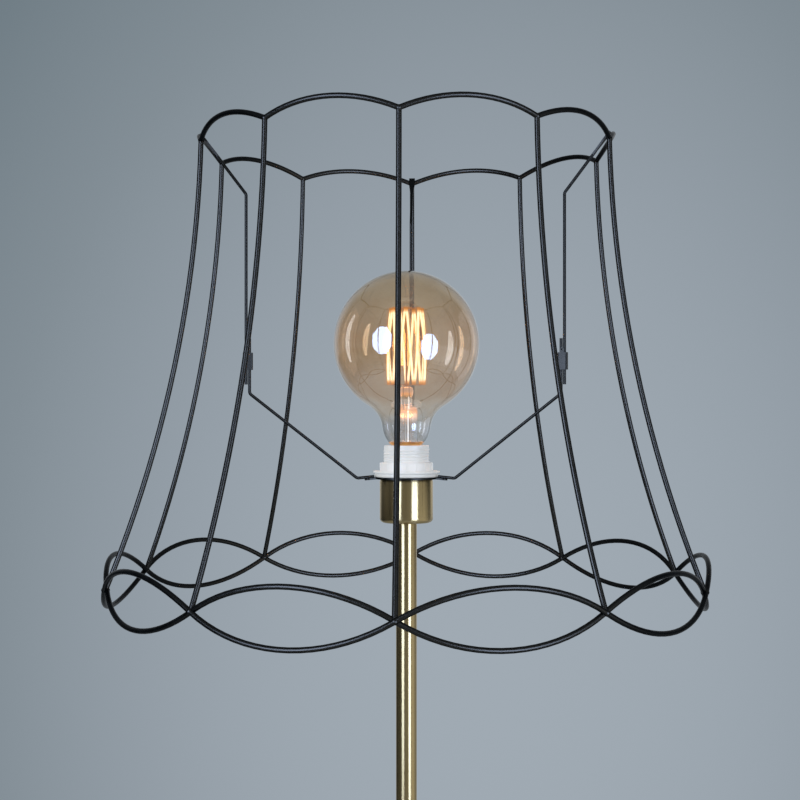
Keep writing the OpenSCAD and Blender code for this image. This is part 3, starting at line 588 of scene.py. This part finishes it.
class LAMP_OT_holder(bpy.types.Operator):
    """Models the threaded holder and its ring nut"""

    bl_idname = "lamp.holder"
    bl_label = "Model the lamp holder"

    def execute(self, context):
        settings = context.scene.floor_lamp.holder
        # white with a satin skin, a shade greyer where the melt flowed
        plastic = moulded_plastic("Polyester, moulded", settings.plastic, settings.plastic_shade, 0.45)
        # a warm white body under a clear gloss
        ceramic = moulded_plastic("Ceramic, glazed", "#f0ede6", "#e2ddd2", 0.15, 1.0)
        dress(plastic, "holder_cap")
        dress(ceramic, "terminal_block")
        self.threaded_barrel(settings, plastic)
        self.ring_nut(settings, plastic)
        return {"FINISHED"}

    def threaded_barrel(self, settings, plastic):
        """The holder's barrel, with its outer thread and the rounded rim of its mouth."""
        low, high, crest = turned_extent("holder_shell")
        root = crest - settings.thread_depth / MM
        joint, shoulder, mouth_floor = low + 5, TIP_Z / MM - 0.2, high - 6
        mouth, throat, spigot_bore, spigot = 16.5, 14.1, 15.45, 17.45
        bm = bmesh.new()
        points = [
            (root, joint), (root, high), (mouth, high), (mouth, mouth_floor), (throat, mouth_floor),
            (throat, shoulder), (spigot_bore, shoulder), (spigot_bore, low), (spigot, low),
            (spigot, joint),
        ]
        outline = profile(bm, points)
        round_corners(bm, outline[1:4], 0.5)
        turn(bm, 96)
        start, end = joint + 1.0, high - 1.6
        move_into(bm, self.thread(settings, root, crest, start, end))
        piece_from(bm, "holder_barrel", plastic, "stand", ["holder_shell"])

    def thread(self, settings, root, crest, start, end):
        """A ridge that winds up from one height to another, its foot sunk in the barrel."""
        pitch = settings.thread_pitch / MM
        foot, steps_a_turn = root - 0.15, 64
        steps = int((end - start - pitch) / pitch * steps_a_turn)
        bm = bmesh.new()
        points = [
            (foot, start), (crest, start + 0.30 * pitch), (crest, start + 0.55 * pitch),
            (foot, start + 0.85 * pitch),
        ]
        ridge = profile(bm, points)
        round_corners(bm, ridge[1:3], 0.15, 2)
        bmesh.ops.spin(
            bm, geom=bm.verts[:] + bm.edges[:], cent=ORIGIN, axis=UP,
            dvec=UP * (settings.thread_pitch / steps_a_turn), angle=2 * math.pi * steps / steps_a_turn,
            steps=steps,
        )
        bmesh.ops.holes_fill(bm, edges=[e for e in bm.edges if e.is_boundary], sides=0)
        bmesh.ops.recalc_face_normals(bm, faces=bm.faces[:])
        return bm

    def ring_nut(self, settings, plastic):
        """The ring nut: a flange with a thin lip, and a collar with fine upright grip ribs."""
        low, high, flange = turned_extent("shade_ring")
        collar, bore = 22.6, 19.85
        lip_low, lip_high = low + 3.4, low + 5.4
        # the collar stands in a shallow dish behind the lip
        dish = lip_high - 0.5
        bm = bmesh.new()
        points = [
            (bore, low), (flange - 1.3, low), (flange - 1.0, lip_low - 0.7), (flange - 1.7, lip_low),
            (flange, lip_low + 0.3), (flange, lip_high), (flange - 2.4, lip_high),
            (flange - 2.8, dish), (collar, dish), (collar, high), (bore, high),
        ]
        outline = profile(bm, points)
        round_corners(bm, outline[1:2], 0.9)
        round_corners(bm, [outline[i] for i in (2, 4, 5, 6, 9, 10)], 0.35, 3)
        turn(bm, 128)
        move_into(bm, self.grip(settings, collar, dish, high - lip_high - 0.3))
        piece_from(bm, "ring_nut", plastic, "shade_ring", ["shade_ring"])

    def grip(self, settings, collar, foot, tall):
        """Upright ribs round the collar, from a foot height up; sizes in millimetres."""
        deep, wide, edge, sunk = 0.9, 1.5, 0.3, 0.5
        bm = bmesh.new()
        bmesh.ops.create_cube(bm, size=1)
        bmesh.ops.scale(bm, vec=Vector((deep, wide, tall)) * MM, verts=bm.verts[:])
        upright = [e for e in bm.edges if abs((e.verts[0].co - e.verts[1].co).z) > tall * MM / 2]
        bmesh.ops.bevel(
            bm, geom=upright, offset=edge * MM, segments=2, profile=0.5, affect="EDGES", material=-1
        )
        place = Vector((collar - 0.1, 0, foot + (tall + sunk) / 2)) * MM
        bmesh.ops.translate(bm, vec=place, verts=bm.verts[:])
        bmesh.ops.spin(
            bm, geom=bm.verts[:] + bm.edges[:] + bm.faces[:], cent=ORIGIN, axis=UP, dvec=ORIGIN,
            angle=2 * math.pi * (1 - 1 / settings.grip_ribs), steps=settings.grip_ribs - 1,
            use_duplicate=True,
        )
        bmesh.ops.recalc_face_normals(bm, faces=bm.faces[:])
        return bm


class LAMP_OT_shade_frame(bpy.types.Operator):
    """Powder coats the shade's wires, the carrier ring, its arms and the clips"""

    bl_idname = "lamp.shade_frame"
    bl_label = "Finish the wire shade"

    def execute(self, context):
        settings = context.scene.floor_lamp.shade
        satin = powder_coat(settings, "Powder coat, satin black", 0.55)
        # the carrier and the rods that run in its clips are duller, so flat faces stay dark
        dull = powder_coat(settings, "Powder coat, dull black", 0.3)
        bodies = frame["record"]["behaviour"]["bodies"]
        rods = [node for node in bodies["shade"] if node.startswith("drop_")]
        dress(satin, *(node for node in bodies["shade"] if node not in rods))
        dress(dull, *rods, *bodies["carrier"])
        return {"FINISHED"}


class LAMP_OT_globe(bpy.types.Operator):
    """Blows the globe, and fits its stem, cap and glowing filament"""

    bl_idname = "lamp.globe"
    bl_label = "Model the globe lamp"

    def execute(self, context):
        settings = context.scene.floor_lamp.globe
        # grey wire with a smooth drawn shine
        dress(plain_metal("Nickel wire, drawn", "#b8b0a4", "#8d857b", 0.5, 0.35), "lead_wires")
        # thin sheet, yellow and bright
        dress(plain_metal("Brass, pressed", "#d8b26a", "#b78d46", 0.7, 0.3), "globe_cap")
        # black glass with a wet gloss
        dress(moulded_plastic("Cap glass, fused", "#16161a", "#0f0f12", 0.12, 1.0), "cap_insulator")
        # soft grey metal that has flowed
        dress(plain_metal("Solder, tinned", "#bfc0bd", "#9c9d9a", 0.7, 0.4), "cap_contact")
        # a painted orange glow on the hooks stands in for the strands' light on them
        dress(glowing("Support wire, lit", "#cf8436", "#8e5622", 0.8), "filament_supports")
        self.blown_globe(settings)
        self.drawn_stem()
        self.stem_seal()
        self.exhaust_tube()
        self.strands(settings)
        return {"FINISHED"}

    def arc(self, bm, vert, centre, angle, steps):
        """Carries a path on along an arc about a centre, and returns its new vertex."""
        made = bmesh.ops.spin(
            bm, geom=[vert], cent=centre, axis=Vector((0, 1, 0)), dvec=ORIGIN, angle=angle, steps=steps
        )
        return made["geom_last"][0]

    def line(self, bm, vert, point):
        """Carries a path straight on to a point, and returns its new vertex."""
        end = bm.verts.new(point)
        bm.edges.new((vert, end))
        return end

    def glass_path(self, bm, inset):
        """One wall of the globe, from the top down to the foot of its neck."""
        # the globe sweeps over to a neck that leans in, and bulges in again at its foot
        slope, bulge = math.radians(9), math.radians(21)
        sweep_radius, bulge_radius, foot_radius = 24 * MM, 29 * MM, 12.45 * MM
        shoulder = Vector((20.6 * MM, 0, TIP_Z + 41.6 * MM))
        up = Vector((math.sin(slope), 0, math.cos(slope)))
        side = Vector((math.cos(slope), 0, -math.sin(slope)))
        # the sweep touches the neck's line and, from outside, the globe
        off = shoulder + sweep_radius * side - GLOBE_MIDDLE
        reach = GLOBE_RADIUS + sweep_radius
        rise = -(off @ up) - math.sqrt((off @ up) ** 2 - off @ off + reach * reach)
        sweep = GLOBE_MIDDLE + off + up * rise
        angle = math.acos(-(GLOBE_MIDDLE - sweep).normalized().z)
        last = bm.verts.new((0, 0, GLOBE_TOP_Z - inset))
        last = self.arc(bm, last, GLOBE_MIDDLE, angle, 72)
        last = self.arc(bm, last, sweep, math.pi / 2 + slope - angle, 20)
        last = self.line(bm, last, shoulder - inset * side)
        last = self.arc(bm, last, shoulder - bulge_radius * side, bulge, 10)
        for height in (26 * MM, 24 * MM):
            last = self.line(bm, last, Vector((foot_radius - inset, 0, TIP_Z + height)))
        return last

    def blown_globe(self, settings):
        """The glass: a globe drawn in to a neck, closed at its foot."""
        thickness = 0.8 * MM
        bm = bmesh.new()
        bm.edges.new([self.glass_path(bm, inset) for inset in (0.0, thickness)])
        turn(bm, 160)
        glass = amber_glass(settings)
        globe = piece_from(bm, "blown_globe", glass, "globe", ["globe_glass"], smooth=60)
        globe.visible_shadow = False

    def drawn_stem(self):
        """The glass stem: a flare from the neck, pinched in to a rod with a knob that holds the wires."""
        tip = TIP_Z / MM
        knob = turned_extent("globe_stem")[1]
        bm = bmesh.new()
        points = [
            (0, knob), (4.4, knob), (5.8, knob - 2), (5.8, knob - 7), (4.9, knob - 9),
            (4.9, tip + 61.5), (8.6, tip + 60.5), (9.5, tip + 57.5), (9.5, tip + 33.5),
            (11.6, tip + 24.6), (10.6, tip + 24.6), (8.5, tip + 33.5), (8.5, tip + 55.5),
            (7.4, tip + 58), (0, tip + 59),
        ]
        outline = profile(bm, points, closed=False)
        round_corners(bm, outline[1:9] + outline[11:14], 1.2)
        turn(bm, 64)
        # a painted glow on the knob and the closed top of the flare stands in for the filament's light that
        # they catch
        lit = [
            (0.47, "#000000"), (0.51, "#6c4830"), (0.56, "#8c5c38"), (0.60, "#583622"), (0.63, "#140c08"),
            (0.69, "#2a180c"), (0.71, "#a87040"), (0.74, "#6a4024"), (0.78, "#8e5a34"),
        ]
        glass = clear_glass("Lamp glass, drawn", lit)
        stem = piece_from(bm, "drawn_stem", glass, "globe", ["globe_stem"], smooth=50)
        stem.visible_shadow = False

    def stem_seal(self):
        """The thick amber bead where the flare is fused to the neck."""
        tip = TIP_Z / MM
        bm = bmesh.new()
        points = [
            (11.2, tip + 26.8), (14.9, tip + 29.2), (15.2, tip + 30.1), (14.8, tip + 30.3),
            (14.0, tip + 29.6), (10.4, tip + 27.2),
        ]
        outline = profile(bm, points)
        round_corners(bm, outline[1:4], 0.3, 2)
        turn(bm, 96)
        # the bead's amber glow is painted, standing in for the filament's light from above
        amber = glowing("Seal glass, amber, lit from above", "#d49a52", "#945a1c", 0.85)
        seal = piece_from(bm, "stem_seal", amber, "globe", smooth=50)
        seal.visible_shadow = False

    def exhaust_tube(self):
        """The thin tube that the globe was emptied through, a little off the stem's axis; its white glow is a
        painted highlight.
        """
        tip = TIP_Z / MM
        bm = bmesh.new()
        points = [
            (0, tip + 70), (0.3, tip + 70), (0.45, tip + 69), (0.6, tip + 55), (0.6, tip + 14),
            (0.4, tip + 12), (0, tip + 12),
        ]
        outline = profile(bm, points, closed=False)
        round_corners(bm, outline[1:6], 0.2, 3)
        turn(bm, 32)
        bmesh.ops.translate(bm, vec=Vector((1.5 * MM, 0, 0)), verts=bm.verts[:])
        # a white glow paints the highlight along the tube
        painted_glint = glowing("Exhaust tube, frosted and lit", "#ffffff", "#f2f4ff", 1.3)
        piece_from(bm, "exhaust_tube", painted_glint, "globe", smooth=50)

    def hung_strands(self, settings, low, high):
        """The upper and the lower end of each strand of the filament."""
        hooks, high_radius, low_radius = 7, 13.8 * MM, 15.6 * MM
        spread = settings.spread
        # a strand leaves its hook on the side towards the other hook, so it hangs nearly upright
        spans = [(spread, 0.5 - spread), (1 - spread, 0.5 + spread)]
        pairs = []
        for hook in range(hooks):
            for start, end in spans:
                top, foot = (2 * math.pi * (hook + turns) / hooks for turns in (start, end))
                pairs.append(
                    (
                        Vector((high_radius * math.sin(top), -high_radius * math.cos(top), high)),
                        Vector((low_radius * math.sin(foot), -low_radius * math.cos(foot), low)),
                    )
                )
        return pairs

    def strands(self, settings):
        """The filament: strands between the upper and the lower hooks, and the glow round them."""
        box_low, box_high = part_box("filament")
        ends = low, high = box_low[2] + 0.5 * MM, box_high[2] - 0.5 * MM
        pairs = self.hung_strands(settings, low, high)
        core = glowing("Filament, hot core", "#fffaf0", "#fff2d0", settings.core_strength, ends=ends)
        glow = glowing("Filament, yellow glow", "#ffc84e", "#ffae34", 1.1, 0.4, ends)
        haze = glowing("Filament, outer glow", "#ffb46a", "#f5a050", 0.9, 0.035, ends)
        for name, width, material, replaced in (
            ("filament_core", settings.core_width, core, ["filament"]),
            ("filament_glow", settings.halo_width, glow, ()),
            ("filament_haze", 2.6 * settings.halo_width, haze, ()),
        ):
            bm = bmesh.new()
            for n, (top, foot) in enumerate(pairs):
                # hand-hung strands bow by different shares, in no plain order
                share = 0.35 + 0.45 * (5 * n % 7 % 4)
                self.strand(bm, top, foot, width / 2, settings.bow * share)
            piece = piece_from(bm, name, material, "globe", replaced, smooth=80)
            piece.visible_shadow = False

    def strand(self, bm, top, foot, radius, bow):
        """One strand, a slim tube on an arc that bows away from the stem."""
        run = foot - top
        outward = ((top + foot) / 2 * Vector((1, 1, 0))).normalized()
        outward = (outward - run.normalized() * (outward @ run.normalized())).normalized()
        bend = run.length_squared / (8 * bow)
        half = math.asin(run.length / 2 / bend)
        centre = (top + foot) / 2 - outward * (bend - bow)
        axis = outward.cross(run).normalized()
        ring = bmesh.ops.create_circle(bm, segments=8, radius=radius, cap_ends=True)["verts"]
        tangent = Matrix.Rotation(-half, 3, axis) @ run.normalized()
        aim = tangent.to_track_quat("Z", "Y").to_matrix().to_4x4()
        bmesh.ops.transform(bm, matrix=Matrix.Translation(top) @ aim, verts=ring)
        faces = list({f for v in ring for f in v.link_faces})
        bmesh.ops.spin(bm, geom=faces, cent=centre, axis=axis, dvec=ORIGIN, angle=2 * half, steps=12)
        bmesh.ops.recalc_face_normals(bm, faces=bm.faces[:])


class LAMP_OT_stage(bpy.types.Operator):
    """Sets up the floor, the backdrop's light, the soft lamps and the camera"""

    bl_idname = "lamp.stage"
    bl_label = "Set up the studio"

    def execute(self, context):
        settings = context.scene.floor_lamp.stage
        context.scene.view_settings.view_transform = "Standard"
        self.camera(context, settings)
        self.floor()
        self.world(context, settings)
        self.lamps(context, settings)
        return {"FINISHED"}

    def camera(self, context, settings):
        """A level camera at the photograph's place."""
        data = bpy.data.cameras.new("camera")
        data.sensor_width = 36
        data.lens = settings.focal_px / PICTURE * data.sensor_width
        data.shift_x, data.shift_y = (shift / PICTURE for shift in settings.shift_px)
        camera = bpy.data.objects.new("camera", data)
        a = settings.azimuth
        camera.location = (settings.distance * math.sin(a), -settings.distance * math.cos(a), settings.height)
        camera.rotation_euler = (math.pi / 2, 0, a)
        context.scene.collection.objects.link(camera)
        context.scene.camera = camera

    def floor(self):
        """A round pale floor that fades into the backdrop before its edge."""
        solid, reach = 1.2, 3.4
        material, tree, place = new_material("Studio floor")
        away = add(tree, "ShaderNodeVectorMath", {"operation": "LENGTH"}, i0=place).outputs["Value"]
        smooth = {"interpolation_type": "SMOOTHSTEP"}
        fade = add(tree, "ShaderNodeMapRange", smooth, i0=away, i1=solid, i2=reach, i3=1.0, i4=0.0).outputs[0]
        paint = add(tree, "ShaderNodeBsdfDiffuse", Color=linear("#a9b1b8"))
        clear = add(tree, "ShaderNodeBsdfTransparent")
        shader = add(tree, "ShaderNodeMixShader", i0=fade, i1=clear.outputs[0], i2=paint.outputs[0])
        bm = bmesh.new()
        bmesh.ops.create_circle(bm, segments=96, radius=reach, cap_ends=True)
        object_from(bm, "floor", finished(material, shader))

    def world(self, context, settings):
        """A backdrop for the camera, a room for shiny surfaces to mirror, and an even light for the rest."""
        world = bpy.data.worlds.new("studio")
        world.use_nodes = True
        context.scene.world = world
        tree = world.node_tree
        tree.nodes.clear()
        direction = add(tree, "ShaderNodeTexCoord").outputs["Generated"]
        shown = add(tree, "ShaderNodeBackground", Color=self.backdrop(tree, direction), Strength=1.0)
        mirrored = add(tree, "ShaderNodeBackground", Color=self.room(tree, direction), Strength=1.0)
        soft = add(tree, "ShaderNodeBackground", Color=linear("#f4f6f8"), Strength=settings.ambient)
        path = add(tree, "ShaderNodeLightPath").outputs
        direct, through, glossy = path["Is Camera Ray"], path["Is Transmission Ray"], path["Is Glossy Ray"]
        seen = add(tree, "ShaderNodeMath", {"operation": "MAXIMUM"}, i0=direct, i1=through).outputs[0]
        unseen = add(tree, "ShaderNodeMixShader", i0=glossy, i1=soft.outputs[0], i2=mirrored.outputs[0])
        both = add(tree, "ShaderNodeMixShader", i0=seen, i1=unseen.outputs[0], i2=shown.outputs[0])
        add(tree, "ShaderNodeOutputWorld", Surface=both.outputs[0])

    def backdrop(self, tree, direction):
        """Blue-grey, with a soft pool of light behind the shade, taller than it is wide."""
        pool, flatten = Vector((0.033, 1, -0.114)).normalized(), (1, 1, 0.69)
        flat = add(tree, "ShaderNodeVectorMath", {"operation": "MULTIPLY"}, i0=direction, i1=flatten)
        unit = add(tree, "ShaderNodeVectorMath", {"operation": "NORMALIZE"}, i0=flat.outputs[0])
        near = add(tree, "ShaderNodeVectorMath", {"operation": "DOT_PRODUCT"}, i0=unit.outputs[0], i1=pool)
        stops = [
            (0.0, "#98a2ab"), (0.72, "#98a2ab"), (0.90, "#707d85"), (0.94, "#828d95"), (0.97, "#929ca5"),
            (0.99, "#9ca6af"), (1.0, "#a0aab3"),
        ]
        return ramp(tree, near.outputs["Value"], stops)

    def room(self, tree, direction):
        """What shiny surfaces see, from behind on the left, round the front, to behind on the right."""
        walls = [
            (0.0, "#a8b0b6"), (0.08, "#c8ced4"), (0.11, "#a8b0b6"), (0.14, "#585d61"), (0.24, "#6c7074"),
            (0.30, "#565a5e"), (0.40, "#7a7e82"), (0.50, "#888c90"), (0.56, "#92979c"), (0.66, "#aeb4ba"),
            (0.73, "#a6acb2"), (0.80, "#52575c"), (0.845, "#4e5358"), (0.885, "#dce2e8"), (0.92, "#c8ced4"),
        ]
        # near the floor the wall on the right is paler
        low_walls = [
            (0.0, "#a8b0b6"), (0.08, "#a8b0b6"), (0.12, "#1c2024"), (0.30, "#24282c"), (0.40, "#727679"),
            (0.50, "#868a8e"), (0.56, "#92979c"), (0.64, "#ccd2d8"), (0.72, "#eaf0f6"), (0.78, "#ccd2d8"),
            (0.84, "#8e949a"), (0.92, "#a8b0b6"),
        ]
        ceiling = linear("#787e84")
        # how steep a look has to be to meet the low walls or the ceiling
        drops_from, drops_to, rises_from, rises_to = -0.05, -0.11, 0.1, 0.9
        apart = add(tree, "ShaderNodeSeparateXYZ", i0=direction).outputs
        front = add(tree, "ShaderNodeMath", {"operation": "MULTIPLY"}, i0=apart[1], i1=-1.0).outputs[0]
        bearing = add(tree, "ShaderNodeMath", {"operation": "ARCTAN2"}, i0=apart[0], i1=front).outputs[0]
        share = add(tree, "ShaderNodeMapRange", i0=bearing, i1=-math.pi, i2=math.pi).outputs[0]
        downward = add(tree, "ShaderNodeMapRange", i0=apart[2], i1=drops_from, i2=drops_to).outputs[0]
        upward = add(tree, "ShaderNodeMapRange", i0=apart[2], i1=rises_from, i2=rises_to).outputs[0]
        colour = ramp(tree, share, walls)
        for amount, other in ((downward, ramp(tree, share, low_walls)), (upward, ceiling)):
            mixed = add(tree, "ShaderNodeMix", {"data_type": "RGBA"}, i0=amount, i6=colour, i7=other)
            colour = mixed.outputs[2]
        return colour

    def lamps(self, context, settings):
        """Two softboxes in front, one to each side, a soft top light, and the filament's own light."""
        aim, window_aim = Vector((0, 0, 1.35)), Vector((0, 0, 1.4))
        bright = settings.softbox_radiance
        for name, azimuth, height, wide, tall in (
            ("left", -36.5, 1.49, 1.1, 1.44), ("right", 38, 1.16, 0.96, 1.36),
        ):
            self.face("face_" + name, place_at(azimuth, height), aim, (wide, tall), bright, "transmission")
        for name, azimuth, height, power in zip(
            ("left", "right"), (-52, 46), (1.6, 1.3), settings.softbox_power
        ):
            self.area_lamp(context, "softbox_" + name, place_at(azimuth, height), aim, (1.0, 1.3), power)
        # tall windows beside the lamp, which glass alone mirrors from its inner faces
        for name, azimuth, height, wide, tall, share in (
            ("left", -104, 1.62, 0.38, 1.7, 0.68), ("right", 75, 1.18, 0.38, 1.6, 0.7),
            ("far", 118, 1.4, 1.8, 2.2, 0.16),
        ):
            place, size, dim = place_at(azimuth, height), (wide, tall), share * settings.window_radiance
            self.face("window_" + name, place, window_aim, size, dim, "glossy", "#ccdcf6")
        overhead, low_aim = Vector((0.3, -0.4, 3.2)), Vector((0, 0, 0.6))
        self.area_lamp(context, "top_light", overhead, low_aim, (1.8, 1.8), 10.0)
        self.filament_light(context)

    def filament_light(self, context):
        """The warm light that the strands throw on the wires and the holder."""
        data = bpy.data.lights.new("filament_light", "POINT")
        data.energy, data.shadow_soft_size, data.color = 0.3, 0.02, linear("#ffb066")[:3]
        glow = bpy.data.objects.new("filament_light", data)
        glow.location = GLOBE_MIDDLE
        glow.visible_camera = False
        glow.visible_transmission = False
        context.scene.collection.objects.link(glow)

    def area_lamp(self, context, name, place, aim, size, power):
        """A soft lamp that lights the object but is never seen itself."""
        data = bpy.data.lights.new(name, "AREA")
        data.shape, data.size, data.size_y, data.energy = "RECTANGLE", *size, power
        lamp = bpy.data.objects.new(name, data)
        lamp.matrix_world = facing(place, aim)
        for ray in ("camera", "glossy", "transmission"):
            setattr(lamp, "visible_" + ray, False)
        context.scene.collection.objects.link(lamp)

    def face(self, name, place, aim, size, radiance, unseen_by, colour="#bad1ff"):
        """A bright eight-sided face, seen either in shiny surfaces or inside glass."""
        material, tree, _ = new_material("Softbox face " + name)
        light = add(tree, "ShaderNodeEmission", Color=linear(colour), Strength=radiance)
        bm = bmesh.new()
        # about a metre across its flats, then stretched to its size
        bmesh.ops.create_circle(bm, segments=8, radius=0.54, cap_ends=True)
        bmesh.ops.rotate(bm, cent=ORIGIN, matrix=Matrix.Rotation(math.pi / 8, 3, "Z"), verts=bm.verts[:])
        bmesh.ops.scale(bm, vec=Vector((*size, 1)), verts=bm.verts[:])
        bmesh.ops.transform(bm, matrix=facing(place, aim), verts=bm.verts[:])
        made = object_from(bm, name, finished(material, light))
        for ray in ("camera", "diffuse", "shadow", "volume_scatter", unseen_by):
            setattr(made, "visible_" + ray, False)


OPERATORS = (LAMP_OT_stem, LAMP_OT_base, LAMP_OT_holder, LAMP_OT_shade_frame, LAMP_OT_globe, LAMP_OT_stage)


class LAMP_PT_panel(bpy.types.Panel):
    """Lists the lamp's pieces and the studio"""

    bl_label = "Floor Lamp"
    bl_space_type = "VIEW_3D"
    bl_region_type = "UI"
    bl_category = "Floor Lamp"

    def draw(self, context):
        for operator in OPERATORS:
            self.layout.operator(operator.bl_idname)
        for name, group in GROUPS:
            box = self.layout.box()
            box.label(text=name.capitalize())
            settings = getattr(context.scene.floor_lamp, name)
            for field in group.__annotations__:
                box.prop(settings, field)


CLASSES = (*(group for _, group in GROUPS), FloorLampSettings, *OPERATORS, LAMP_PT_panel)


def register():
    for cls in CLASSES:
        bpy.utils.register_class(cls)
    bpy.types.Scene.floor_lamp = bpy.props.PointerProperty(type=FloorLampSettings)


def unregister():
    del bpy.types.Scene.floor_lamp
    for cls in reversed(CLASSES):
        bpy.utils.unregister_class(cls)


def main():
    register()
    bpy.ops.lamp.stage()
    bpy.ops.lamp.stem()
    bpy.ops.lamp.base()
    bpy.ops.lamp.holder()
    bpy.ops.lamp.shade_frame()
    bpy.ops.lamp.globe()
    bpy.context.view_layer.update()


if __name__ == "__main__":
    main()
